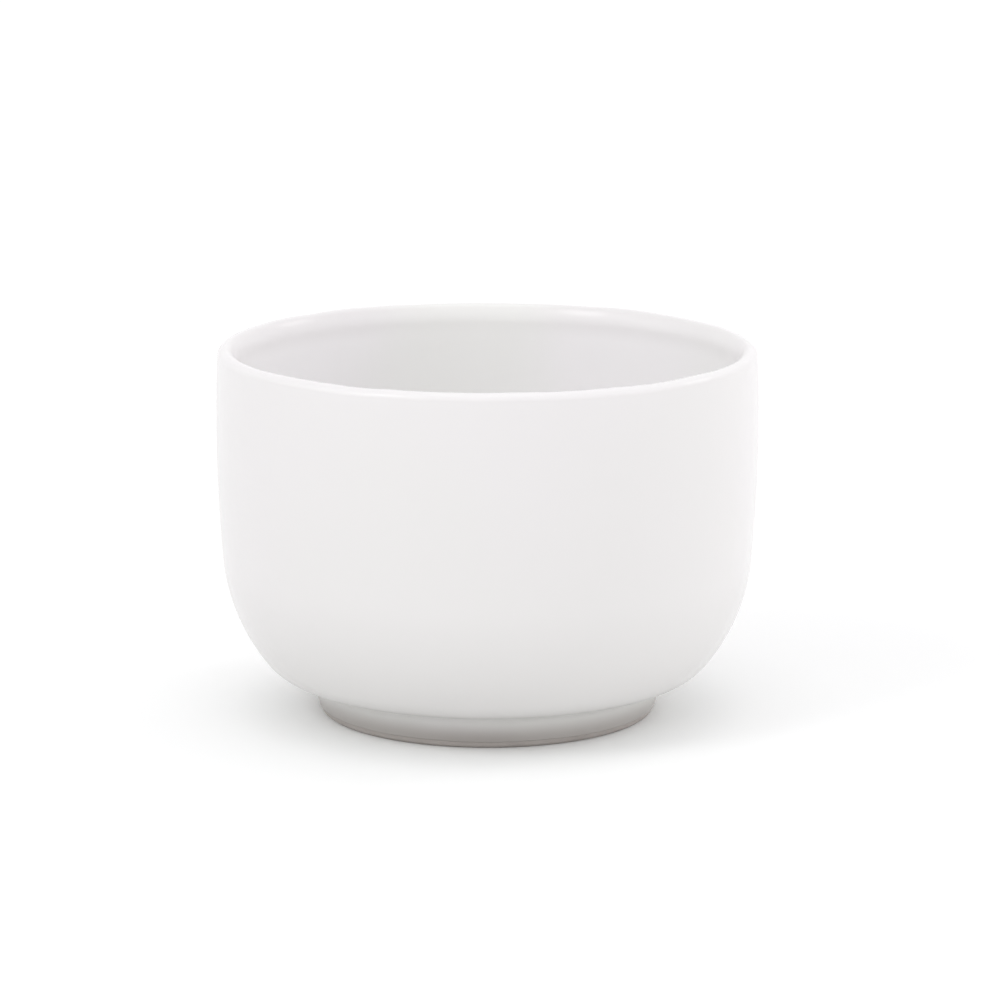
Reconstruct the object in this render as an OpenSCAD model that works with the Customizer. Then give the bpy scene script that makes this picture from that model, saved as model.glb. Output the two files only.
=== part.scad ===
// Free-standing porcelain latte bowl on a foot ring, glazed white.
// Millimetres, +Z up. The origin is on the table, on the bowl's own axis.
// The section is drawn once, in radius and height, as a chain of arcs that run
// into each other without a corner. A depth is how far a face lies under the
// glazed surface. Clay and glaze share the arcs' centres, so each coat lies on
// the clay without a gap.

/* [Outline] */
// Widest diameter, over the glaze
bowl_d = 117; // [113:0.5:123]
// Height from the table to the crown of the lip
bowl_h = 80; // [74:0.5:92]
// Height of the widest line
widest_z = 62.6; // [57:0.2:68]
// Radius of the wall's long curve, as a share of the diameter
wall_share = 2.9; // [2.2:0.1:5]
// Radius of the shoulder, as a share of the diameter
shoulder_share = 0.35; // [0.32:0.01:0.38]
// Radius of the heel, between shoulder and underside, as a share of the diameter
heel_share = 0.103; // [0.07:0.001:0.15]
// Width of the underside's straight stretch, from the foot to the heel
underside_w = 4.4; // [3:0.1:6]
// Rise of the underside from the foot outwards, in degrees
underside_rise = 15; // [12:0.5:18]

/* [Lip and wall] */
// Thickness of the wall
wall_t = 4.2; // [3.6:0.1:5.4]
// Thickness of the rounded lip, as a share of the wall's
lip_share = 0.81; // [0.6:0.01:0.92]
// Radius of the eased inner side of the lip
lip_ease_r = 6; // [4:0.5:12]
// Radius inside, between wall and floor, as a share of the diameter
inner_heel_share = 0.154; // [0.1:0.001:0.2]
// Radius of the dished floor, as a share of the diameter
floor_share = 1.7; // [1.2:0.1:2.2]
// Height of the floor's middle above the table
floor_z = 10; // [8.5:0.1:12]

/* [Foot ring] */
// Diameter of the bare foot just above its rounded edge, as a share of the bowl's
foot_share = 0.62; // [0.58:0.005:0.65]
// Height of the foot, up to its corner with the underside
foot_h = 6.85; // [6.2:0.05:8]
// Thickness of the foot ring just above its rounded edges
foot_wall_t = 4.6; // [3.8:0.1:6]
// Outward lean of the outer face, in degrees
foot_lean = 14; // [4:1:20]
// Inward lean of the inner face, in degrees
foot_inner_lean = 8; // [2:1:14]
// Radius of the foot's two bottom edges
foot_edge_r = 1.2; // [0.6:0.1:1.6]
// Radius of the blend between foot and underside
foot_blend_r = 2.5; // [1:0.1:3.6]
// Radius of the blend inside the recess
recess_blend_r = 2; // [1:0.1:2.8]
// Height of the recess under the bowl, as a share of the foot's
recess_share = 0.8; // [0.7:0.01:0.9]

/* [Glaze] */
// Thickness of the glaze
glaze_t = 0.3; // [0.15:0.05:0.45]
// Bare clay left above the foot's rounded edges
bare_band = 0.6; // [0.3:0.1:1.2]
// Colour of the glaze
glaze_colour = "#f0eeee"; // ["#f0eeee", "#f5f5f2", "#e6e4dd"]
// Colour of the bare clay
clay_colour = "#ddd6cc"; // ["#ddd6cc", "#e8e2d8"]

/* [Hidden] */
$fn = 240;
// Neighbouring arcs cross by a hair instead of touching, so they meet in one edge
hair = glaze_t / 1000;
// How far the end of a tighter arc runs on into its neighbour
lap = 2 * glaze_t;

// A unit step in the direction of an angle
function dir(a) = [cos(a), sin(a)];
// The angle in which q lies from p
function bearing(p, q) = atan2(q.y - p.y, q.x - p.x);
// Where circle p, a meets circle q, b, on the right when looking from p to q
function circles_meet(p, a, q, b) =
    let (
        gap = norm(q - p),
        along = (gap * gap + a * a - b * b) / (2 * gap),
        aside = sqrt(a * a - along * along),
        way = bearing(p, q)
    )
    p + along * dir(way) + aside * dir(way - 90);
// Centre of a round in a corner, from the angles in which the corner's faces lie
function round_centre(corner, a, r) =
    corner - (r - hair) / cos((a[0] - a[1]) / 2) * dir((a[0] + a[1]) / 2);

// Radii and sizes that go with the diameter, the wall and the foot
wall_arc_r = wall_share * bowl_d;
shoulder_arc_r = shoulder_share * bowl_d;
heel_arc_r = heel_share * bowl_d;
inner_heel_r = inner_heel_share * bowl_d;
floor_arc_r = floor_share * bowl_d;
foot_d = foot_share * bowl_d;
recess_h = recess_share * foot_h;
lip_r = lip_share * wall_t / 2;

// Radius of the foot's outer face, at a height and a depth
function foot_outer(z, depth) =
    foot_d / 2 + (z - foot_edge_r) * tan(foot_lean) + (glaze_t - depth) / cos(foot_lean);
// Radius of the foot's inner face
function foot_inner(z, depth) =
    foot_d / 2 - foot_wall_t - (z - foot_edge_r) * tan(foot_inner_lean)
        - (glaze_t - depth) / cos(foot_inner_lean);

// Outside arcs, from the widest line down to the foot
wall_c = [bowl_d / 2 - wall_arc_r, widest_z];
foot_corner = [foot_outer(foot_h, 0), foot_h];
heel_c = foot_corner
    + underside_w * dir(underside_rise)
    + (heel_arc_r - hair) * dir(underside_rise + 90);
shoulder_c = circles_meet(
    heel_c, shoulder_arc_r - heel_arc_r + hair,
    wall_c, wall_arc_r - shoulder_arc_r + hair
);
shoulder_a = bearing(wall_c, shoulder_c);
heel_a = bearing(shoulder_c, heel_c);
underside_a = underside_rise - 90;

// Inside arcs, which share the wall's and the shoulder's centres
inner_wall_r = wall_arc_r - wall_t;
inner_shoulder_r = shoulder_arc_r - wall_t;
floor_c = [0, floor_z + floor_arc_r];
inner_heel_c = circles_meet(
    shoulder_c, inner_shoulder_r - inner_heel_r + hair,
    floor_c, floor_arc_r - inner_heel_r + hair
);
inner_heel_a = bearing(shoulder_c, inner_heel_c);
floor_a = bearing(floor_c, inner_heel_c);

// Lip: a full round that runs into the wall outside and into its eased side inside
lip_a = asin((bowl_h - lip_r - widest_z) / (wall_arc_r - lip_r + hair));
lip_c = wall_c + (wall_arc_r - lip_r + hair) * dir(lip_a);
ease_c = circles_meet(wall_c, inner_wall_r + lip_ease_r - hair, lip_c, lip_ease_r - lip_r + hair);
ease_a = bearing(wall_c, ease_c);

// Foot: the blends at its top and the rounds of its bottom edges
blend_a = [underside_rise + 90, 180 - foot_lean];
blend_c = round_centre(foot_corner, blend_a, foot_blend_r);
recess_a = [foot_inner_lean, 90];
recess_c = round_centre([foot_inner(recess_h, 0), recess_h], recess_a, recess_blend_r);
outer_edge_a = [-90, -foot_lean];
inner_edge_a = [foot_inner_lean - 180, -90];
// Height at which the foot's section ends inside the bowl's, before it is cut to fit
foot_top_z = foot_h + 2 * glaze_t;
// Height at which the glaze stops
bare_z = foot_edge_r + bare_band;

// Height, at a depth, of the point at angle a of an arc that has the clay inside it
function arc_z(c, r, a, depth) = c.y + (r - depth) * sin(a);
// The same for an arc that has the hollow inside it
function hollow_z(c, r, a, depth) = c.y + (r + depth) * sin(a);
// Height at which the wall passes into the lip's eased side
function ease_z(depth) = hollow_z(wall_c, inner_wall_r, ease_a, depth);

// All that lies between two heights, from the axis outwards
module strip(width, low, high) {
    polygon([[0, low], [width, low], [width, high], [0, high]]);
}

// One stretch of an outline: all inside an arc, between two heights
module band(c, r, low, high) {
    intersection() {
        translate(c)
            circle(r);
        strip(bowl_d, low, high);
    }
}

// Everything inside the outer face of the bowl, up to where its lip begins
module outer_form(depth) {
    roof = recess_h + depth;
    heel_end = heel_c + (heel_arc_r - depth) * dir(underside_a);
    heel_top = arc_z(shoulder_c, shoulder_arc_r, heel_a, depth);
    wall_low = arc_z(wall_c, wall_arc_r, shoulder_a, depth);
    underside_z = foot_corner.y + depth / cos(underside_rise);
    polygon([
        [0, roof],
        [foot_corner.x - (underside_z - roof) / tan(underside_rise), roof],
        [heel_end.x, underside_z + (heel_end.x - foot_corner.x) * tan(underside_rise)],
        heel_c,
        [0, heel_c.y]
    ]);
    band(heel_c, heel_arc_r - depth, heel_end.y - lap, heel_top + lap);
    band(shoulder_c, shoulder_arc_r - depth, heel_top, wall_low + lap);
    band(wall_c, wall_arc_r - depth, wall_low, ease_z(depth));
}

// The hollow of the bowl, up to where its lip begins
module hollow_form(depth) {
    floor_end = floor_c + (floor_arc_r + depth) * dir(floor_a);
    heel_top = hollow_z(shoulder_c, inner_shoulder_r, inner_heel_a, depth);
    wall_low = hollow_z(wall_c, inner_wall_r, shoulder_a, depth);
    intersection() {
        translate(floor_c)
            circle(floor_arc_r + depth);
        polygon([
            [0, 0],
            [floor_end.x, 0],
            floor_end,
            inner_heel_c,
            [0, inner_heel_c.y]
        ]);
    }
    band(inner_heel_c, inner_heel_r + depth, floor_end.y - lap, heel_top + lap);
    band(shoulder_c, inner_shoulder_r + depth, heel_top, wall_low + lap);
    band(wall_c, inner_wall_r + depth, wall_low, ease_z(depth) + lap);
}

// The head of the wall: wall and eased side up to the lip's radii, then the full round
module lip_form(depth) {
    low = ease_z(depth) - lap;
    side = 2 * wall_t;
    intersection() {
        translate(wall_c)
            circle(wall_arc_r - depth);
        translate(ease_c)
            circle(lip_ease_r - depth);
        polygon([
            [lip_c.x - side, low],
            [lip_c.x + side, low],
            lip_c + side * dir(lip_a),
            lip_c,
            lip_c + side * dir(bearing(ease_c, lip_c))
        ]);
    }
    translate(lip_c)
        circle(lip_r - depth);
}

// Section of the bowl without its foot
module bowl_form(depth) {
    difference() {
        outer_form(depth);
        hollow_form(depth);
    }
    lip_form(depth);
}

// What lies in a corner outside the round that touches both of its faces
module corner_form(c, a, r) {
    reach = r + lap;
    difference() {
        polygon([
            c,
            c + reach * dir(a[0]),
            c + reach / cos((a[0] - a[1]) / 2) * dir((a[0] + a[1]) / 2),
            c + reach * dir(a[1])
        ]);
        translate(c)
            circle(r);
    }
}

// Section of the foot: two leaning faces, rounded bottom edges and the blends
module foot_form(depth) {
    outer = [foot_outer(0, depth), 0];
    inner = [foot_inner(0, depth), 0];
    difference() {
        polygon([
            inner,
            outer,
            [foot_outer(foot_top_z, depth), foot_top_z],
            [foot_inner(foot_top_z, depth), foot_top_z]
        ]);
        corner_form(round_centre(outer, outer_edge_a, foot_edge_r), outer_edge_a, foot_edge_r);
        corner_form(round_centre(inner, inner_edge_a, foot_edge_r), inner_edge_a, foot_edge_r);
    }
    corner_form(blend_c, blend_a, foot_blend_r + depth);
    corner_form(recess_c, recess_a, recess_blend_r + depth);
}

// The glaze all over, as the skin between the glazed and the bare section
module coat_form() {
    difference() {
        union() {
            bowl_form(0);
            foot_form(0);
        }
        bowl_form(glaze_t);
        foot_form(glaze_t);
        strip(bowl_d, -lap, bare_z);
    }
}

// Room of the inside coat: it ends in the middle of the clay and at the lip's crown
module inside_room() {
    middle = wall_t / 2;
    hollow_form(middle);
    strip(lip_c.x, ease_z(0) - middle, bowl_h + lap);
}

// Room of the coat under the bowl: it ends in the middle of the foot and of the floor
module recess_room() {
    strip((foot_d - foot_wall_t) / 2, 0, (recess_h + floor_z) / 2);
}

// Fired porcelain shell of the bowl
module bowl_body() {
    color(clay_colour)
        rotate_extrude()
            bowl_form(glaze_t);
}

// Porcelain ring joined to the underside, bare where it stands
module foot_ring() {
    color(clay_colour)
        rotate_extrude()
            difference() {
                foot_form(glaze_t);
                outer_form(glaze_t);
            }
}

// Glaze of the inside, up to the crown of the lip
module inside_glaze() {
    color(glaze_colour)
        rotate_extrude()
            intersection() {
                coat_form();
                inside_room();
            }
}

// Glaze of the outside, from the crown of the lip to the foot
module outside_glaze() {
    color(glaze_colour)
        rotate_extrude()
            difference() {
                coat_form();
                inside_room();
                recess_room();
            }
}

// Glaze under the bowl, inside the foot ring
module recess_glaze() {
    color(glaze_colour)
        rotate_extrude()
            intersection() {
                coat_form();
                recess_room();
            }
}

bowl_body();
foot_ring();
inside_glaze();
outside_glaze();
recess_glaze();
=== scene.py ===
"""Latte bowl of white glazed porcelain, in a plain white studio.

Every section of the bowl is drawn in edit mode as a chain of arcs, in radius and
height, and turned round the bowl's axis. Clay and glaze use the same arcs: a depth is
how far a face lies under the glazed surface.
"""

import math

import bpy
from bpy.props import FloatProperty, FloatVectorProperty, IntProperty, PointerProperty
from mathutils import Matrix, Vector


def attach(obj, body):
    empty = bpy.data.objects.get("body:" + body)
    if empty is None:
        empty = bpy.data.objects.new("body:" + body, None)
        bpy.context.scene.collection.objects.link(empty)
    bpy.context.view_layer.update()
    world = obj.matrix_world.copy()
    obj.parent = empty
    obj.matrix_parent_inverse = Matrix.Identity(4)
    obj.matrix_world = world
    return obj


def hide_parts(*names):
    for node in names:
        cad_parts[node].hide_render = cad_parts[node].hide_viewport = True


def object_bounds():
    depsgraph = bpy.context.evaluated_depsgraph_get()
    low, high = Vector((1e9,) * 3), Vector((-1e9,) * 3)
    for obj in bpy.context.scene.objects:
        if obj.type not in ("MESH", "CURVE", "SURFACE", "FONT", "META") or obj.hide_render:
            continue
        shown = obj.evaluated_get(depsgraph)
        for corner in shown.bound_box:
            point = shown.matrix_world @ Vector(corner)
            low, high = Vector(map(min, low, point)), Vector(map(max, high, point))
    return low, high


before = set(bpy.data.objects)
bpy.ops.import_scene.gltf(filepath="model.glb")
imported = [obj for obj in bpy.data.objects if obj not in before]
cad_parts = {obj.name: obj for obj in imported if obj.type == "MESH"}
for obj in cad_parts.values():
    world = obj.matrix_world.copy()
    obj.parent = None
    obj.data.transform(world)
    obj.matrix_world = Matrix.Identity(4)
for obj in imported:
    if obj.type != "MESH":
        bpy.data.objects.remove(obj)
cad_low, cad_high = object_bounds()

bl_info = {
    "name": "Latte bowl",
    "version": (1, 0, 0),
    "blender": (4, 5, 0),
    "location": "3D View > Sidebar > Latte bowl",
    "description": "Turns a glazed porcelain bowl with a foot ring and lights it in a white studio",
    "category": "Object",
}


# Sizes and looks that a user would change


class BowlSizes(bpy.types.PropertyGroup):
    """Outline, lip and wall of the bowl"""

    diameter: FloatProperty(
        name="Diameter", description="Widest diameter, over the glaze", default=0.117, unit="LENGTH"
    )
    height: FloatProperty(
        name="Height",
        description="From the table to the crown of the lip",
        default=round(cad_high.z, 5),
        unit="LENGTH",
    )
    widest_at: FloatProperty(
        name="Widest at", description="Height of the widest line", default=0.0626, unit="LENGTH"
    )
    wall_arc: FloatProperty(
        name="Wall curve",
        description="Radius of the wall's curve, as a share of the diameter",
        default=2.9,
    )
    shoulder_arc: FloatProperty(
        name="Shoulder",
        description="Radius of the shoulder, as a share of the diameter",
        default=0.35,
    )
    heel_arc: FloatProperty(
        name="Heel", description="Radius of the heel, as a share of the diameter", default=0.103
    )
    underside_width: FloatProperty(
        name="Underside width",
        description="Straight stretch between foot and heel",
        default=0.0044,
        unit="LENGTH",
    )
    underside_rise: FloatProperty(
        name="Underside rise",
        description="Rise of the underside from the foot outwards",
        default=math.radians(15),
        subtype="ANGLE",
    )
    wall: FloatProperty(
        name="Wall", description="Thickness of the wall", default=0.0042, unit="LENGTH"
    )
    lip: FloatProperty(
        name="Lip",
        description="Thickness of the rounded lip, as a share of the wall's",
        default=0.81,
    )
    lip_ease: FloatProperty(
        name="Lip ease",
        description="Radius of the eased inner side of the lip",
        default=0.006,
        unit="LENGTH",
    )
    inner_heel: FloatProperty(
        name="Inner heel",
        description="Radius between wall and floor inside, as a share of the diameter",
        default=0.154,
    )
    floor_arc: FloatProperty(
        name="Floor",
        description="Radius of the dished floor, as a share of the diameter",
        default=1.7,
    )
    floor_height: FloatProperty(
        name="Floor height",
        description="Height of the floor's middle above the table",
        default=0.01,
        unit="LENGTH",
    )
    glaze: FloatProperty(
        name="Glaze", description="Thickness of the glaze", default=0.0003, unit="LENGTH"
    )
    lip_wave: FloatProperty(
        name="Lip wave",
        description="The most that the lip rises or falls round the bowl",
        default=0.0003,
        unit="LENGTH",
    )
    lip_wave_length: FloatProperty(
        name="Lip wave length",
        description="How long the lip's waves are",
        default=0.018,
        unit="LENGTH",
    )
    lip_wave_from: FloatProperty(
        name="Lip wave from",
        description="Where the wave begins, as a share of the height",
        default=0.6,
    )
    segments: IntProperty(name="Segments", description="Steps in a full turn", default=256)


class FootSizes(bpy.types.PropertyGroup):
    """The foot ring and the recess inside it"""

    diameter: FloatProperty(
        name="Diameter",
        description="Bare foot just above its rounded edge, as a share of the bowl's diameter",
        default=0.62,
    )
    height: FloatProperty(
        name="Height",
        description="From the table to the foot's corner with the underside",
        default=0.00685,
        unit="LENGTH",
    )
    thickness: FloatProperty(
        name="Thickness",
        description="Thickness of the ring just above its rounded edges",
        default=0.0046,
        unit="LENGTH",
    )
    lean: FloatProperty(
        name="Outer lean",
        description="Outward lean of the outer face",
        default=math.radians(14),
        subtype="ANGLE",
    )
    inner_lean: FloatProperty(
        name="Inner lean",
        description="Inward lean of the inner face",
        default=math.radians(8),
        subtype="ANGLE",
    )
    edge: FloatProperty(
        name="Edge", description="Radius of the two bottom edges", default=0.0012, unit="LENGTH"
    )
    blend: FloatProperty(
        name="Blend",
        description="Radius between foot and underside",
        default=0.0025,
        unit="LENGTH",
    )
    recess_blend: FloatProperty(
        name="Recess blend", description="Radius inside the recess", default=0.002, unit="LENGTH"
    )
    recess: FloatProperty(
        name="Recess", description="Height of the recess, as a share of the foot's", default=0.8
    )
    bare_band: FloatProperty(
        name="Bare band",
        description="Bare clay left above the rounded edges",
        default=0.0006,
        unit="LENGTH",
    )
    edge_wave: FloatProperty(
        name="Glaze line wave",
        description="The most that the glaze's lower edge wanders up or down",
        default=0.00012,
        unit="LENGTH",
    )
    edge_wave_length: FloatProperty(
        name="Glaze line wave length",
        description="How long the waves of the glaze's lower edge are",
        default=0.007,
        unit="LENGTH",
    )
    edge_wave_fade: FloatProperty(
        name="Glaze line wave fade",
        description="Height over which the wave dies out, in bare bands",
        default=4,
    )


class FinishLooks(bpy.types.PropertyGroup):
    """Colours and gloss of glaze and clay"""

    glaze: FloatVectorProperty(
        name="Glaze",
        description="Glaze at its usual thickness",
        subtype="COLOR",
        default=(0.905, 0.895, 0.901),
    )
    # This colour also paints the broad drift, which is partly a painted reflection of the room's
    # colours
    pooled: FloatVectorProperty(
        name="Pooled glaze",
        description="Glaze where it ran together and lies thicker",
        subtype="COLOR",
        default=(0.868, 0.882, 0.85),
    )
    # Colour for glaze thinned on the edges and, mostly, for painted shade: it is darker than the
    # bare clay
    thin_glaze_and_shade: FloatVectorProperty(
        name="Thin glaze",
        description="Glaze on the edges, where the clay shows through",
        subtype="COLOR",
        default=(0.4, 0.368, 0.352),
    )
    # The clay colours, with their clouds and specks, are set darker than fired porcelain: partly
    # the clay's own warm tone, partly painted shade where the foot meets the table
    clay: FloatVectorProperty(
        name="Clay",
        description="Bare fired porcelain",
        subtype="COLOR",
        default=(0.52, 0.486, 0.463),
    )
    clay_cloud: FloatVectorProperty(
        name="Clay clouds",
        description="Bare porcelain where it is a little darker",
        subtype="COLOR",
        default=(0.475, 0.443, 0.42),
    )
    specks: FloatVectorProperty(
        name="Specks",
        description="Grit in the bare porcelain",
        subtype="COLOR",
        default=(0.4, 0.363, 0.337),
    )
    gloss_roughness: FloatProperty(
        name="Glaze roughness",
        description="Roughness of the satin glaze",
        subtype="FACTOR",
        default=0.24,
    )
    roughness_drift: FloatProperty(
        name="Roughness drift",
        description="How far the glaze's roughness goes up and down",
        default=0.02,
    )
    clay_roughness: FloatProperty(
        name="Clay roughness",
        description="Roughness of the bare clay",
        subtype="FACTOR",
        default=0.85,
    )


class StudioLooks(bpy.types.PropertyGroup):
    """Camera and light"""

    camera_distance: FloatProperty(
        name="Camera distance",
        description="From the bowl's axis, level",
        default=0.9598,
        unit="LENGTH",
    )
    camera_height: FloatProperty(
        name="Camera height", description="Above the table", default=0.2472, unit="LENGTH"
    )
    camera_pitch: FloatProperty(
        name="Camera pitch", description="Downward tilt", default=0.2066, subtype="ANGLE"
    )
    camera_pan: FloatProperty(
        name="Camera pan",
        description="Turn to the right, which sets the bowl left of the middle",
        default=0.00283,
        subtype="ANGLE",
    )
    camera_roll: FloatProperty(
        name="Camera roll", description="Tilt of the horizon", default=0.0019, subtype="ANGLE"
    )
    lens: FloatProperty(
        name="Lens", description="Focal length on a 36 mm sensor, in millimetres", default=162.96
    )
    room: FloatVectorProperty(
        name="Room",
        description="Colour of the white room",
        subtype="COLOR",
        default=(1, 0.98, 0.995),
    )
    walls: FloatProperty(name="Walls", description="Strength of the room's walls", default=1.14)
    leaning: FloatVectorProperty(
        name="Leaning",
        description="How much brighter the room is towards +X, +Y and +Z",
        subtype="XYZ",
        default=(0.5, 0.28, 0),
    )
    ceiling: FloatProperty(
        name="Ceiling", description="Strength of the room's ceiling", default=0.63
    )
    key: FloatProperty(
        name="Key light", description="Strength of the light from above left", default=0.35
    )
    front: FloatProperty(
        name="Front light", description="Strength of the wide light in front", default=0.56
    )
    top: FloatProperty(
        name="Top light", description="Strength of the light overhead", default=0.2
    )
    left: FloatProperty(
        name="Left light", description="Strength of the low light on the left", default=0.17
    )
    right: FloatProperty(
        name="Right light",
        description="Strength of the light behind on the right",
        default=0.12,
    )
    bounce: FloatVectorProperty(
        name="Bounce",
        description="Colour that the floor throws back at the bowl",
        subtype="COLOR",
        default=(0.695, 0.7, 0.68),
    )
    floor: FloatVectorProperty(
        name="Floor",
        description="Colour of the floor as seen",
        subtype="COLOR",
        default=(0.944, 0.958, 0.952),
    )
    floor_glow: FloatProperty(
        name="Floor glow", description="What lifts the floor to white, as seen", default=0.06
    )
    opening: FloatProperty(
        name="Opening",
        description="Radius in which light comes up through the floor, under the bowl",
        default=0.031,
        unit="LENGTH",
    )
    opening_light: FloatProperty(
        name="Opening light",
        description="Share of the room's light that comes up through the opening",
        subtype="FACTOR",
        default=0.7,
    )


# The section: arcs in radius and height

# Widest step of an arc, and how far a step may lie off its arc
ARC_STEP = math.radians(4)
ARC_SAG = 0.000004
# Points closer than this are one
MERGE_DISTANCE = 0.000002
# Faces that meet at more than this show an edge
EDGE_ANGLE = math.radians(40)


def heading(angle):
    """A unit step in the direction of an angle."""
    return Vector((math.cos(angle), math.sin(angle)))


def bearing(start, end):
    """The angle in which end lies from start."""
    return math.atan2(end.y - start.y, end.x - start.x)


def circles_meet(p, a, q, b):
    """Where circle p, a meets circle q, b, on the right when looking from p to q."""
    gap = (q - p).length
    along = (gap * gap + a * a - b * b) / (2 * gap)
    aside = math.sqrt(a * a - along * along)
    way = bearing(p, q)
    return p + along * heading(way) + aside * heading(way - math.pi / 2)


def round_centre(corner, faces, radius):
    """Centre of a round in a corner, from the angles in which the corner's faces lie."""
    half, middle = (faces[0] - faces[1]) / 2, (faces[0] + faces[1]) / 2
    return corner - radius / math.cos(half) * heading(middle)


class Section:
    """The arcs of the bowl's section, worked out from its sizes."""

    def __init__(self, bowl, foot):
        self.bowl, self.foot = bowl, foot
        self.foot_radius = foot.diameter * bowl.diameter / 2
        self.recess_height = foot.recess * foot.height
        self.bare_height = foot.edge + foot.bare_band

        self.wall_r = bowl.wall_arc * bowl.diameter
        self.shoulder_r = bowl.shoulder_arc * bowl.diameter
        self.heel_r = bowl.heel_arc * bowl.diameter
        self.wall_c = Vector((bowl.diameter / 2 - self.wall_r, bowl.widest_at))
        rise = bowl.underside_rise
        corner = Vector((self.foot_outer(foot.height, 0), foot.height))
        square = heading(rise + math.pi / 2)
        self.heel_c = corner + bowl.underside_width * heading(rise) + self.heel_r * square
        self.shoulder_c = circles_meet(
            self.heel_c, self.shoulder_r - self.heel_r, self.wall_c, self.wall_r - self.shoulder_r
        )
        self.shoulder_a = bearing(self.wall_c, self.shoulder_c)
        self.heel_a = bearing(self.shoulder_c, self.heel_c)
        self.underside_a = rise - math.pi / 2

        self.inner_wall_r = self.wall_r - bowl.wall
        self.inner_shoulder_r = self.shoulder_r - bowl.wall
        self.inner_heel_r = bowl.inner_heel * bowl.diameter
        self.floor_r = bowl.floor_arc * bowl.diameter
        self.floor_c = Vector((0, bowl.floor_height + self.floor_r))
        self.inner_heel_c = circles_meet(
            self.shoulder_c,
            self.inner_shoulder_r - self.inner_heel_r,
            self.floor_c,
            self.floor_r - self.inner_heel_r,
        )
        self.inner_heel_a = bearing(self.shoulder_c, self.inner_heel_c)
        self.floor_a = bearing(self.floor_c, self.inner_heel_c)

        self.lip_r = bowl.lip * bowl.wall / 2
        reach = self.wall_r - self.lip_r
        self.lip_a = math.asin((bowl.height - self.lip_r - bowl.widest_at) / reach)
        self.lip_c = self.wall_c + reach * heading(self.lip_a)
        self.ease_c = circles_meet(
            self.wall_c, self.inner_wall_r + bowl.lip_ease, self.lip_c, bowl.lip_ease - self.lip_r
        )
        self.ease_a = bearing(self.wall_c, self.ease_c)
        self.lip_inner_a = bearing(self.ease_c, self.lip_c)

        self.blend_a = (rise + math.pi / 2, math.pi - foot.lean)
        self.blend_c = round_centre(corner, self.blend_a, foot.blend)
        self.recess_a = (foot.inner_lean, math.pi / 2)
        recess_corner = Vector((self.foot_inner(self.recess_height, 0), self.recess_height))
        self.recess_c = round_centre(recess_corner, self.recess_a, foot.recess_blend)
        glaze = bowl.glaze
        edge = foot.edge
        outer = self.foot_outer(edge, glaze) - edge / math.cos(foot.lean)
        inner = self.foot_inner(edge, glaze) + edge / math.cos(foot.inner_lean)
        self.outer_edge_c = Vector((outer, edge))
        self.inner_edge_c = Vector((inner, edge))

    def foot_outer(self, z, depth):
        """Radius of the foot's outer face, at a height and a depth."""
        out = (self.bowl.glaze - depth) / math.cos(self.foot.lean)
        return self.foot_radius + (z - self.foot.edge) * math.tan(self.foot.lean) + out

    def foot_inner(self, z, depth):
        """Radius of the foot's inner face, at a height and a depth."""
        out = (self.bowl.glaze - depth) / math.cos(self.foot.inner_lean)
        lean = (z - self.foot.edge) * math.tan(self.foot.inner_lean)
        return self.foot_radius - self.foot.thickness - lean - out

    def roof_end(self):
        """Where the clay's flat roof over the recess meets its rising underside."""
        rise, glaze = self.bowl.underside_rise, self.bowl.glaze
        roof = self.recess_height + glaze
        climb = self.foot.height + glaze / math.cos(rise) - roof
        return Vector((self.foot_outer(self.foot.height, 0) - climb / math.tan(rise), roof))

    def draw_outside(self, pen, depth):
        """From the end of the underside up to the crown of the lip."""
        pen.line(self.heel_c + (self.heel_r - depth) * heading(self.underside_a))
        pen.arc(self.heel_c, self.heel_a)
        pen.arc(self.shoulder_c, self.shoulder_a)
        pen.arc(self.wall_c, self.lip_a)
        pen.arc(self.lip_c, math.pi / 2)

    def draw_inside(self, pen):
        """From the crown of the lip down to the middle of the floor."""
        pen.arc(self.lip_c, self.lip_inner_a)
        pen.arc(self.ease_c, self.ease_a + math.pi)
        pen.arc(self.wall_c, self.shoulder_a)
        pen.arc(self.shoulder_c, self.inner_heel_a)
        pen.arc(self.inner_heel_c, self.floor_a)
        pen.arc(self.floor_c, -math.pi / 2)

    def draw_inside_back(self, pen):
        """The same stretch the other way, from the middle of the floor to the crown."""
        pen.arc(self.floor_c, self.floor_a)
        pen.arc(self.inner_heel_c, self.inner_heel_a)
        pen.arc(self.shoulder_c, self.shoulder_a)
        pen.arc(self.wall_c, self.ease_a)
        pen.arc(self.ease_c, self.lip_inner_a)
        pen.arc(self.lip_c, math.pi / 2)


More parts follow.
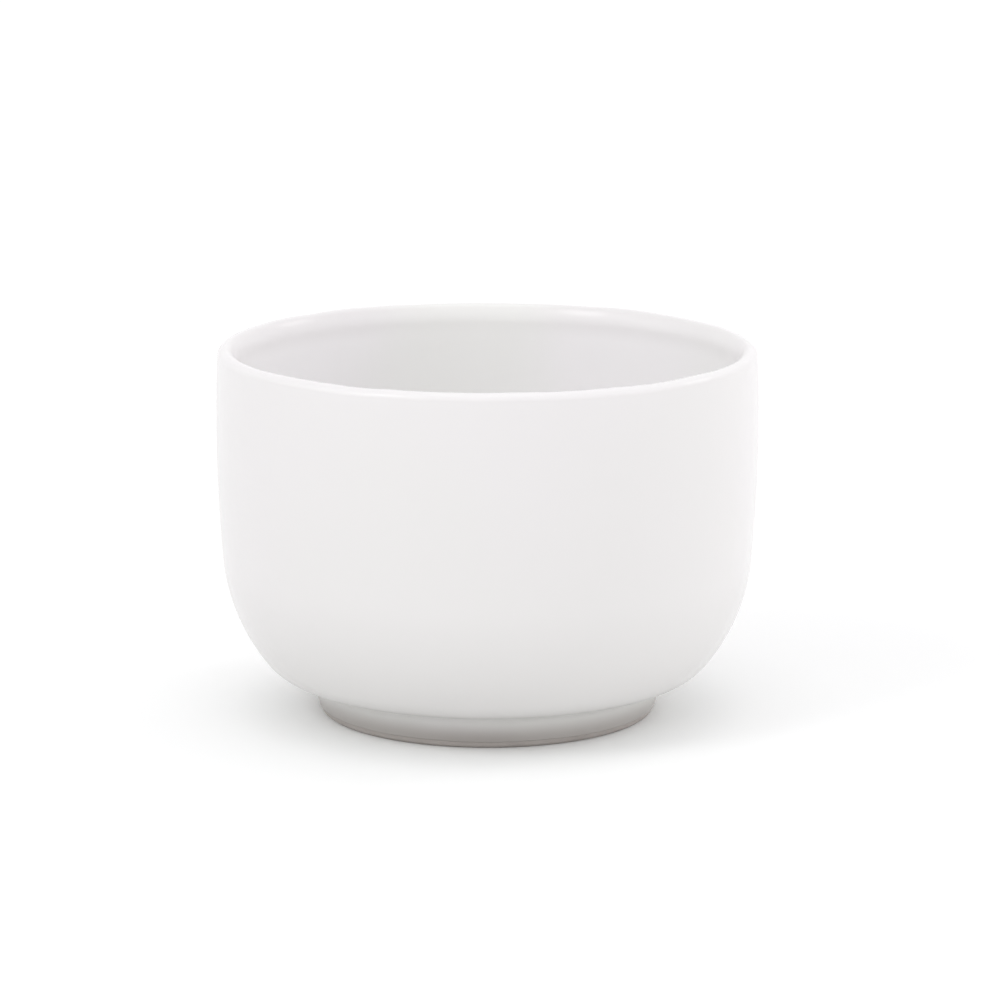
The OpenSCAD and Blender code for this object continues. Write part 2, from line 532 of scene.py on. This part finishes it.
class Pen:
    """Draws a section in edit mode, line by line and arc by arc, and turns it into a piece."""

    def __init__(self, name, start):
        bpy.ops.object.select_all(action="DESELECT")
        bpy.ops.mesh.primitive_plane_add(location=(0, 0, 0))
        self.piece = bpy.context.active_object
        self.piece.name = self.piece.data.name = name
        bpy.ops.object.mode_set(mode="EDIT")
        bpy.ops.mesh.select_mode(type="VERT")
        bpy.ops.mesh.select_all(action="SELECT")
        bpy.ops.mesh.merge(type="CENTER")
        bpy.ops.transform.translate(value=(start.x, 0, start.y))
        self.at = start.copy()

    def line(self, end):
        """A straight stretch to a point."""
        step = end - self.at
        bpy.ops.mesh.extrude_region_move(TRANSFORM_OT_translate={"value": (step.x, 0, step.y)})
        self.at = end.copy()

    def arc(self, centre, end_angle):
        """A stretch round a centre, to the point that lies in end_angle from it."""
        radius = (self.at - centre).length
        turn = math.remainder(end_angle - bearing(centre, self.at), math.tau)
        # A step of angle a lies radius * a * a / 8 off its arc
        by_angle = abs(turn) / ARC_STEP
        by_sag = abs(turn) * math.sqrt(radius / (8 * ARC_SAG))
        bpy.ops.mesh.spin(
            steps=max(2, math.ceil(max(by_angle, by_sag))),
            angle=turn,
            center=(centre.x, 0, centre.y),
            axis=(0, 1, 0),
        )
        self.at = centre + radius * heading(end_angle)

    def turn(self, segments):
        """Turns the section round the bowl's axis and closes its seam and poles."""
        bpy.ops.object.mode_set(mode="OBJECT")
        lathe = self.piece.modifiers.new("lathe", "SCREW")
        lathe.axis = "Z"
        lathe.angle = math.tau
        lathe.steps = lathe.render_steps = segments
        lathe.use_merge_vertices = True
        lathe.merge_threshold = MERGE_DISTANCE
        bpy.ops.object.modifier_apply(modifier=lathe.name)
        bpy.ops.object.mode_set(mode="EDIT")
        bpy.ops.mesh.select_all(action="SELECT")
        bpy.ops.mesh.remove_doubles(threshold=MERGE_DISTANCE)
        bpy.ops.mesh.normals_make_consistent(inside=False)
        bpy.ops.object.mode_set(mode="OBJECT")
        bpy.ops.object.shade_smooth_by_angle(angle=EDGE_ANGLE)
        return self.piece


def wave(piece, name, weight, height, length):
    """Lets part of a piece rise and fall a little, the same for all pieces that share a place."""
    group = piece.vertex_groups.new(name=name)
    for vertex in piece.data.vertices:
        group.add([vertex.index], weight(vertex.co), "REPLACE")
    texture = bpy.data.textures.get(name) or bpy.data.textures.new(name, "CLOUDS")
    texture.noise_scale = length
    bpy.context.view_layer.objects.active = piece
    modifier = piece.modifiers.new(name, "DISPLACE")
    modifier.texture = texture
    modifier.texture_coords = "LOCAL"
    modifier.direction = "Z"
    modifier.vertex_group = name
    # Noise moves a point by up to half the strength, either way
    modifier.strength = 2 * height
    bpy.ops.object.modifier_apply(modifier=modifier.name)
    piece.vertex_groups.clear()


def wave_lip(piece, bowl):
    """The lip isn't quite level, as trimming and firing leave it."""
    start = bowl.lip_wave_from * bowl.height

    def weight(point):
        rise = (point.z - start) / (bowl.height - start)
        return min(1, max(0, rise)) ** 2

    wave(piece, "lip_wave", weight, bowl.lip_wave, bowl.lip_wave_length)


def finish_piece(piece, node, material):
    """Gives a piece its finish and its place in the assembly."""
    piece.data.materials.clear()
    piece.data.materials.append(material)
    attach(piece, "root")
    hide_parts(node)


# Finishes. Spans run from none of an effect to all of it, in metres or in levels of noise,
# and shares say how far a colour is mixed in.

# Glaze that ran together: on the floor inside, and in the hollow above the foot
FLOOR_POOL_RADIUS = (0.04, 0.024)
FLOOR_POOL_HEIGHT = (0.024, 0.011)
HOLLOW_POOL_RISE = (0.0025, -0.001)
HOLLOW_POOL_SHARE = 0.5
POOL_LUMPS = 0.03
POOL_LEVELS = (0.2, 0.7)

# Painted shade: a little on the lip's crown, where the glaze also breaks thinner, more on its eased
# side inside, and down the foot towards the table, where the glaze was also wiped thinner at its
# edge
CROWN_RISE = (-0.0022, -0.0002)
CROWN_SHARE = 0.06
# Painted shade on the lip's eased side and upper wall inside
EASE_SHADE_RISE = (-0.0075, -0.0035)
EASE_SHADE_REACH = (0, -0.001)
EASE_SHADE_SHARE = 0.12
EDGE_RISE = 0.0005

# Broad drift of the colour towards the pooled glaze's green-grey, stronger inside, where the glaze
# was poured: partly the glaze's own uneven tone, partly a painted reflection of the room's colours
DRIFT_SHIFT = (0.044, 0, 0)
DRIFT_LUMPS = 0.05
DRIFT_LEVELS = (0.35, 0.65)
DRIFT_SHARE = 0.2
POURED_REACH = (0.0005, -0.0008)
POURED_HEIGHT = (0.03, 0.045)
POURED_SHARE = 0.4

# The glaze's gloss and ripple
GLAZE_IOR = 1.5
GLOSS_LUMPS = 0.006
GLOSS_LEVELS = (0.3, 0.7)
SWELL_LUMPS = 0.016
SWELL_WEIGHT = 5.0
RIPPLE_LUMPS = 0.0022
RIPPLE_STRENGTH = 0.12
RIPPLE_DEPTH = 0.0001

# The bare clay's clouds and grit
CLOUD_LUMPS = 0.008
CLOUD_LEVELS = (0.3, 0.7)
GRIT_LUMPS = 0.0004
SPECK_LEVELS = (0.62, 0.75)
SPECK_SHARE = 0.35
GRIT_STRENGTH = 0.5
GRIT_DEPTH = 0.00008


class Nodes:
    """Shorthand for a material's node tree."""

    def __init__(self, material):
        material.use_nodes = True
        self.tree = material.node_tree
        self.tree.nodes.clear()

    def add(self, kind, inputs=None, **settings):
        """A node, with its settings and its inputs: a value, or an output to link."""
        node = self.tree.nodes.new("ShaderNode" + kind)
        for key, value in settings.items():
            setattr(node, key, value)
        for key, value in (inputs or {}).items():
            if isinstance(value, bpy.types.NodeSocket):
                self.tree.links.new(value, node.inputs[key])
            else:
                node.inputs[key].default_value = value
        return node

    def math(self, operation, a, b=0.0, clamp=False):
        """The result of a sum on one or two values."""
        return self.add("Math", {0: a, 1: b}, operation=operation, use_clamp=clamp).outputs[0]

    def between(self, value, span, base=0.0):
        """A value taken smoothly from 0 at a span's start to 1 at its end, from a base on."""
        inputs = {"Value": value, "From Min": base + span[0], "From Max": base + span[1]}
        return self.add("MapRange", inputs, interpolation_type="SMOOTHSTEP").outputs["Result"]

    def mix(self, share, first, second):
        """A colour between two, from the Mix node's sockets for colours."""
        return self.add("Mix", {0: share, 6: first, 7: second}, data_type="RGBA").outputs[2]

    def blend(self, share, first, second):
        """A surface between two."""
        return self.add("MixShader", {0: share, 1: first, 2: second}).outputs[0]

    def noise(self, place, size, detail=2.0):
        """Noise with lumps of a size in metres, from 0 to 1."""
        inputs = {"Vector": place, "Scale": 1 / size, "Detail": detail}
        return self.add("TexNoise", inputs).outputs[0]

    def bump(self, height, strength, depth):
        """Lumps of a depth in metres, as the direction that the surface faces."""
        inputs = {"Height": height, "Strength": strength, "Distance": depth}
        return self.add("Bump", inputs).outputs[0]


def colour(value):
    """A colour with full alpha."""
    return (*value, 1)


class GlazeMap:
    """Where on the bowl the glaze lies thick, thins or pools, and where shade and reflection are
    painted into its colour.
    """

    def __init__(self, n, section):
        self.n, self.section = n, section
        self.bowl, self.foot = section.bowl, section.foot
        self.place = n.add("TexCoord").outputs["Object"]
        split = n.add("SeparateXYZ", {0: self.place})
        self.height = split.outputs["Z"]
        level = n.add("CombineXYZ", {0: split.outputs["X"], 1: split.outputs["Y"]}).outputs[0]
        self.radius = n.add("VectorMath", {0: level}, operation="LENGTH").outputs["Value"]

    def pooled(self):
        """On the floor inside, in the recess, and less so in the hollow above the foot."""
        n = self.n
        hollow = n.between(self.height, HOLLOW_POOL_RISE, self.foot.height)
        low = n.between(self.height, FLOOR_POOL_HEIGHT)
        low = n.math("MULTIPLY", low, n.between(self.radius, FLOOR_POOL_RADIUS))
        share = n.math("ADD", n.math("MULTIPLY", hollow, HOLLOW_POOL_SHARE), low, clamp=True)
        patches = n.between(n.noise(self.place, POOL_LUMPS), POOL_LEVELS)
        return n.math("MULTIPLY", share, patches)

    def thin_glaze_and_shade(self):
        """Painted shade: a little on the lip's crown, where the glaze also breaks thinner, more on
        its eased side inside, and down the foot, darker towards the table, where the glaze was also
        wiped thinner at its edge.
        """
        n = self.n
        crown = n.between(self.height, CROWN_RISE, self.bowl.height)
        # Painted shade down the foot, inside and out, darker towards the table, where the glaze was
        # also wiped thinner at its edge
        edge_span = (self.foot.height + EDGE_RISE, self.section.bare_height)
        edge = n.between(self.height, edge_span)
        # Painted shade on the lip's eased side and upper wall inside
        ease = n.between(self.height, EASE_SHADE_RISE, self.bowl.height)
        ease = n.math("MULTIPLY", ease, n.between(self.radius, EASE_SHADE_REACH, self.section.lip_c.x))
        share = n.math("ADD", n.math("MULTIPLY", crown, CROWN_SHARE), edge, clamp=True)
        return n.math("ADD", n.math("MULTIPLY", ease, EASE_SHADE_SHARE), share, clamp=True)

    def drift(self):
        """In broad patches, more so inside and high up: partly the glaze's uneven tone, partly a
        painted reflection of the room's colours.
        """
        n = self.n
        shift = n.add("VectorMath", {0: self.place, 1: DRIFT_SHIFT}, operation="ADD").outputs[0]
        patches = n.between(n.noise(shift, DRIFT_LUMPS, detail=1), DRIFT_LEVELS)
        poured = n.between(self.radius, POURED_REACH, self.section.lip_c.x)
        poured = n.math("MULTIPLY", poured, n.between(self.height, POURED_HEIGHT))
        share = n.math("ADD", n.math("MULTIPLY", poured, POURED_SHARE), DRIFT_SHARE)
        return n.math("MULTIPLY", patches, share)


def glaze_finish(looks, section):
    """Satin white glaze: pools in the hollows, thins on the edges, and is never quite even, with
    painted shade down the foot and on the lip's eased side, and broad patches that are partly a
    painted reflection of the room's colours.
    """
    material = bpy.data.materials.new("white_glaze")
    n = Nodes(material)
    lies = GlazeMap(n, section)
    base = n.mix(lies.pooled(), colour(looks.glaze), colour(looks.pooled))
    # Painted shade down the foot towards the table and on the lip's eased side, with real thinning
    # of the glaze at the crown and the foot's wiped edge
    base = n.mix(lies.thin_glaze_and_shade(), base, colour(looks.thin_glaze_and_shade))
    # Broad green-grey patches, mostly inside: partly the glaze's own tone, partly a painted
    # reflection of the room's colours
    base = n.mix(lies.drift(), base, colour(looks.pooled))

    gloss = {
        "Value": n.noise(lies.place, GLOSS_LUMPS, detail=3),
        "From Min": GLOSS_LEVELS[0],
        "From Max": GLOSS_LEVELS[1],
        "To Min": looks.gloss_roughness - looks.roughness_drift,
        "To Max": looks.gloss_roughness + looks.roughness_drift,
    }
    rough = n.add("MapRange", gloss).outputs[0]
    swell = n.math("MULTIPLY", n.noise(lies.place, SWELL_LUMPS, detail=1), SWELL_WEIGHT)
    lumps = n.math("ADD", swell, n.noise(lies.place, RIPPLE_LUMPS))
    normal = n.bump(lumps, RIPPLE_STRENGTH, RIPPLE_DEPTH)
    inputs = {"Base Color": base, "Roughness": rough, "IOR": GLAZE_IOR, "Normal": normal}
    shader = n.add("BsdfPrincipled", inputs)
    n.add("OutputMaterial", {"Surface": shader.outputs[0]})
    return material


def clay_finish(looks):
    """Bare fired porcelain: matt and warm, with faint clouds, fine grit and darker specks, its
    colours set dark, partly as painted shade where the foot meets the table.
    """
    material = bpy.data.materials.new("bare_porcelain")
    n = Nodes(material)
    place = n.add("TexCoord").outputs["Object"]
    cloud = n.between(n.noise(place, CLOUD_LUMPS, detail=3), CLOUD_LEVELS)
    grit = n.noise(place, GRIT_LUMPS, detail=3)
    base = n.mix(cloud, colour(looks.clay), colour(looks.clay_cloud))
    specks = n.math("MULTIPLY", n.between(grit, SPECK_LEVELS), SPECK_SHARE)
    base = n.mix(specks, base, colour(looks.specks))
    normal = n.bump(grit, GRIT_STRENGTH, GRIT_DEPTH)
    inputs = {"Base Color": base, "Roughness": looks.clay_roughness, "Normal": normal}
    shader = n.add("BsdfPrincipled", inputs)
    n.add("OutputMaterial", {"Surface": shader.outputs[0]})
    return material


def shared_finish(name, make, *args):
    """The material of that name, made when it is first asked for."""
    return bpy.data.materials.get(name) or make(*args)


# One operator for each piece or group of like pieces


class BOWL_OT_clay_bowl(bpy.types.Operator):
    """Turn the fired porcelain shell of the bowl"""

    bl_idname = "latte.clay_bowl"
    bl_label = "Clay bowl"

    def execute(self, context):
        scene = context.scene
        bowl, glaze = scene.bowl_sizes, scene.bowl_sizes.glaze
        section = Section(bowl, scene.foot_sizes)
        pen = Pen("clay_bowl", Vector((0, section.recess_height + glaze)))
        pen.line(section.roof_end())
        section.draw_outside(pen, glaze)
        section.draw_inside(pen)
        piece = pen.turn(bowl.segments)
        wave_lip(piece, bowl)
        clay = shared_finish("bare_porcelain", clay_finish, scene.finish_looks)
        finish_piece(piece, "bowl_body", clay)
        return {"FINISHED"}


class BOWL_OT_foot_ring(bpy.types.Operator):
    """Turn the foot ring, bare where it stands on the table"""

    bl_idname = "latte.foot_ring"
    bl_label = "Foot ring"

    def execute(self, context):
        scene = context.scene
        bowl, foot, glaze = scene.bowl_sizes, scene.foot_sizes, scene.bowl_sizes.glaze
        section = Section(bowl, foot)
        start = section.roof_end()
        rise = bowl.underside_rise
        pen = Pen("clay_foot", start)
        pen.line(section.blend_c + (foot.blend + glaze) * heading(rise + math.pi / 2))
        pen.arc(section.blend_c, section.blend_a[1])
        pen.line(section.outer_edge_c + foot.edge * heading(-foot.lean))
        pen.arc(section.outer_edge_c, -math.pi / 2)
        pen.line(Vector((section.inner_edge_c.x, 0)))
        pen.arc(section.inner_edge_c, foot.inner_lean - math.pi)
        pen.line(section.recess_c + (foot.recess_blend + glaze) * heading(foot.inner_lean))
        pen.arc(section.recess_c, math.pi / 2)
        pen.line(start)
        piece = pen.turn(bowl.segments)
        clay = shared_finish("bare_porcelain", clay_finish, scene.finish_looks)
        finish_piece(piece, "foot_ring", clay)
        return {"FINISHED"}


class BOWL_OT_glaze_coats(bpy.types.Operator):
    """Turn the three coats of glaze: inside, outside and in the recess under the bowl"""

    bl_idname = "latte.glaze_coats"
    bl_label = "Glaze coats"

    def execute(self, context):
        scene = context.scene
        bowl = scene.bowl_sizes
        section = Section(bowl, scene.foot_sizes)
        glaze = shared_finish("white_glaze", glaze_finish, scene.finish_looks, section)
        inside = self.inside_coat(section)
        outside = self.outside_coat(section)
        recess = self.recess_coat(section)
        wave_lip(inside, bowl)
        wave_lip(outside, bowl)
        finish_piece(inside, "inside_glaze", glaze)
        finish_piece(outside, "outside_glaze", glaze)
        finish_piece(recess, "recess_glaze", glaze)
        return {"FINISHED"}

    def inside_coat(self, section):
        """From the lip's crown down to the floor and back along the clay."""
        bowl = section.bowl
        pen = Pen("glaze_inside", Vector((section.lip_c.x, bowl.height)))
        section.draw_inside(pen)
        pen.line(Vector((0, bowl.floor_height - bowl.glaze)))
        section.draw_inside_back(pen)
        pen.line(Vector((section.lip_c.x, bowl.height)))
        return pen.turn(bowl.segments)

    def outside_coat(self, section):
        """From its rounded lower edge on the foot up to the lip's crown and back."""
        bowl, foot = section.bowl, section.foot
        rise = bowl.underside_rise
        end = section.bare_height
        on_clay = Vector((section.foot_outer(end, bowl.glaze), end))
        down = heading(-foot.lean - math.pi / 2)
        pen = Pen("glaze_outside", on_clay + bowl.glaze * down)
        pen.arc(on_clay, -foot.lean)
        pen.line(section.blend_c + foot.blend * heading(section.blend_a[1]))
        pen.arc(section.blend_c, section.blend_a[0])
        section.draw_outside(pen, 0)
        pen.line(Vector((section.lip_c.x, bowl.height - bowl.glaze)))
        pen.arc(section.lip_c, section.lip_a)
        pen.arc(section.wall_c, section.shoulder_a)
        pen.arc(section.shoulder_c, section.heel_a)
        pen.arc(section.heel_c, section.underside_a)
        pen.line(section.blend_c + (foot.blend + bowl.glaze) * heading(rise + math.pi / 2))
        pen.arc(section.blend_c, section.blend_a[1])
        pen.line(on_clay + bowl.glaze * down)
        piece = pen.turn(bowl.segments)
        self.wave_line(piece, section)
        return piece

    def recess_coat(self, section):
        """From its rounded lower edge inside the foot up to the roof and back."""
        bowl, foot = section.bowl, section.foot
        end = section.bare_height
        on_clay = Vector((section.foot_inner(end, bowl.glaze), end))
        down = heading(foot.inner_lean - math.pi / 2)
        pen = Pen("glaze_recess", on_clay + bowl.glaze * down)
        pen.arc(on_clay, foot.inner_lean - math.pi)
        pen.line(section.recess_c + foot.recess_blend * heading(foot.inner_lean))
        pen.arc(section.recess_c, math.pi / 2)
        pen.line(Vector((0, section.recess_height)))
        pen.line(Vector((0, section.recess_height + bowl.glaze)))
        pen.line(Vector((section.recess_c.x, section.recess_height + bowl.glaze)))
        pen.arc(section.recess_c, foot.inner_lean)
        pen.line(on_clay + bowl.glaze * down)
        piece = pen.turn(bowl.segments)
        self.wave_line(piece, section)
        return piece

    def wave_line(self, piece, section):
        """The glaze was wiped off the foot by hand, so its edge isn't quite level."""
        foot = section.foot
        fade = foot.edge_wave_fade * foot.bare_band

        def weight(point):
            return min(1, max(0, 1 - (point.z - section.bare_height) / fade))

        wave(piece, "glaze_line", weight, foot.edge_wave, foot.edge_wave_length)


# Lamps far off: where each one stands, how many degrees wide it looks, and its strength's name
LAMPS = {
    "key_light": ((-0.6, -0.46, 0.65), 21, "key"),
    "front_light": ((-0.45, -0.65, 0.62), 100, "front"),
    "top_light": ((0, 0, 1), 32, "top"),
    "left_light": ((-0.95, -0.2, 0.25), 40, "left"),
    "right_light": ((0.82, 0.3, 0.47), 13, "right"),
}
FLOOR_WIDTH = 6
SENSOR_WIDTH = 36


class BOWL_OT_studio(bpy.types.Operator):
    """Lay the white floor, light the room and place the camera"""

    bl_idname = "latte.studio"
    bl_label = "Studio"

    def execute(self, context):
        looks = context.scene.studio_looks
        self.lay_floor(looks)
        self.light_room(looks)
        self.place_camera(looks)
        return {"FINISHED"}

    def lay_floor(self, looks):
        """A large white floor that shows only from above, and is open inside the foot ring,
        so that light reaches the recess from below."""
        bpy.ops.object.select_all(action="DESELECT")
        bpy.ops.mesh.primitive_plane_add(size=FLOOR_WIDTH, location=(0, 0, 0))
        floor = bpy.context.active_object
        floor.name = "floor"
        material = bpy.data.materials.new("white_floor")
        n = Nodes(material)
        lit = n.add("BsdfDiffuse", {"Color": colour(looks.floor)}).outputs[0]
        glow = n.add("Emission", {"Strength": looks.floor_glow}).outputs[0]
        white = n.add("AddShader", {0: lit, 1: glow}).outputs[0]
        bounce = n.add("BsdfDiffuse", {"Color": colour(looks.bounce)}).outputs[0]
        surface = n.blend(self.seen(n), bounce, white)
        place = n.add("TexCoord").outputs["Object"]
        away = n.add("VectorMath", {0: place}, operation="LENGTH").outputs["Value"]
        under = n.math("LESS_THAN", away, looks.opening)
        dim = {"Color": colour([looks.opening_light] * 3)}
        surface = n.blend(under, surface, n.add("BsdfTransparent", dim).outputs[0])
        back = n.add("NewGeometry").outputs["Backfacing"]
        shown = n.blend(back, surface, n.add("BsdfTransparent").outputs[0])
        n.add("OutputMaterial", {"Surface": shown})
        floor.data.materials.append(material)

    def seen(self, n):
        """Whether a ray shows its target: straight, in a reflection or through glass."""
        path = n.add("LightPath")
        glossy, through = path.outputs["Is Glossy Ray"], path.outputs["Is Transmission Ray"]
        return n.math("MAXIMUM", path.outputs["Is Camera Ray"], n.math("MAXIMUM", glossy, through))

    def light_room(self, looks):
        """A white room all round, and soft lights from far off."""
        world = bpy.data.worlds.new("white_room")
        bpy.context.scene.world = world
        n = Nodes(world)
        way = n.add("TexCoord").outputs["Generated"]
        up = n.add("SeparateXYZ", {0: way}).outputs["Z"]
        walls = n.add("MapRange", {"Value": up, "To Min": looks.walls, "To Max": 0.0}).outputs[0]
        side = n.add("VectorMath", {0: way, 1: looks.leaning}, operation="DOT_PRODUCT")
        walls = n.math("MULTIPLY", walls, n.math("ADD", side.outputs["Value"], 1.0))
        ceiling = n.math("MULTIPLY", n.math("MAXIMUM", up, 0.0), looks.ceiling)
        strength = n.math("ADD", walls, ceiling)
        room = {"Color": colour(looks.room), "Strength": strength}
        room = n.add("Background", room).outputs[0]
        white = n.add("Background", {"Color": colour((1, 1, 1))}).outputs[0]
        n.add("OutputWorld", {"Surface": n.blend(self.seen(n), room, white)})
        for name, (stand, width, key) in LAMPS.items():
            self.add_light(name, stand, width, getattr(looks, key))

    def add_light(self, name, way, width, strength):
        """A soft light from far off, so that it falls on floor and bowl alike."""
        bpy.ops.object.light_add(type="SUN", location=way)
        light = bpy.context.active_object
        light.name = name
        light.data.energy = strength
        light.data.angle = math.radians(width)
        light.rotation_euler = (-Vector(way)).to_track_quat("-Z", "Y").to_euler()

    def place_camera(self, looks):
        """The photograph's viewing angle, from a long way off through a long lens."""
        bpy.ops.object.camera_add(location=(0, -looks.camera_distance, looks.camera_height))
        camera = bpy.context.active_object
        camera.name = "camera"
        camera.data.lens = looks.lens
        camera.data.sensor_width = SENSOR_WIDTH
        level = Matrix.Rotation(math.pi / 2 - looks.camera_pitch, 4, "X")
        pan = Matrix.Rotation(-looks.camera_pan, 4, "Z")
        roll = Matrix.Rotation(looks.camera_roll, 4, "Z")
        camera.rotation_euler = (pan @ level @ roll).to_euler()
        bpy.context.scene.camera = camera


class BOWL_PT_panel(bpy.types.Panel):
    """The bowl's sizes, its pieces and its studio"""

    bl_label = "Latte bowl"
    bl_space_type = "VIEW_3D"
    bl_region_type = "UI"
    bl_category = "Latte bowl"

    def draw(self, context):
        layout = self.layout
        for title, attribute in GROUPS:
            box = layout.box()
            box.label(text=title)
            group = getattr(context.scene, attribute)
            for key in group.bl_rna.properties.keys():
                if key not in {"rna_type", "name"}:
                    box.prop(group, key)
        for operator in PIECES:
            layout.operator(operator.bl_idname)


GROUPS = (
    ("Bowl", "bowl_sizes"),
    ("Foot", "foot_sizes"),
    ("Finish", "finish_looks"),
    ("Studio", "studio_looks"),
)
PIECES = (BOWL_OT_studio, BOWL_OT_clay_bowl, BOWL_OT_foot_ring, BOWL_OT_glaze_coats)
CLASSES = (BowlSizes, FootSizes, FinishLooks, StudioLooks, *PIECES, BOWL_PT_panel)


def register():
    for each in CLASSES:
        bpy.utils.register_class(each)
    bpy.types.Scene.bowl_sizes = PointerProperty(type=BowlSizes)
    bpy.types.Scene.foot_sizes = PointerProperty(type=FootSizes)
    bpy.types.Scene.finish_looks = PointerProperty(type=FinishLooks)
    bpy.types.Scene.studio_looks = PointerProperty(type=StudioLooks)


def unregister():
    for _, attribute in GROUPS:
        delattr(bpy.types.Scene, attribute)
    for each in reversed(CLASSES):
        bpy.utils.unregister_class(each)


def main():
    register()
    bpy.context.scene.view_settings.view_transform = "Standard"
    bpy.ops.latte.studio()
    bpy.ops.latte.clay_bowl()
    bpy.ops.latte.foot_ring()
    bpy.ops.latte.glaze_coats()


if __name__ == "__main__":
    main()
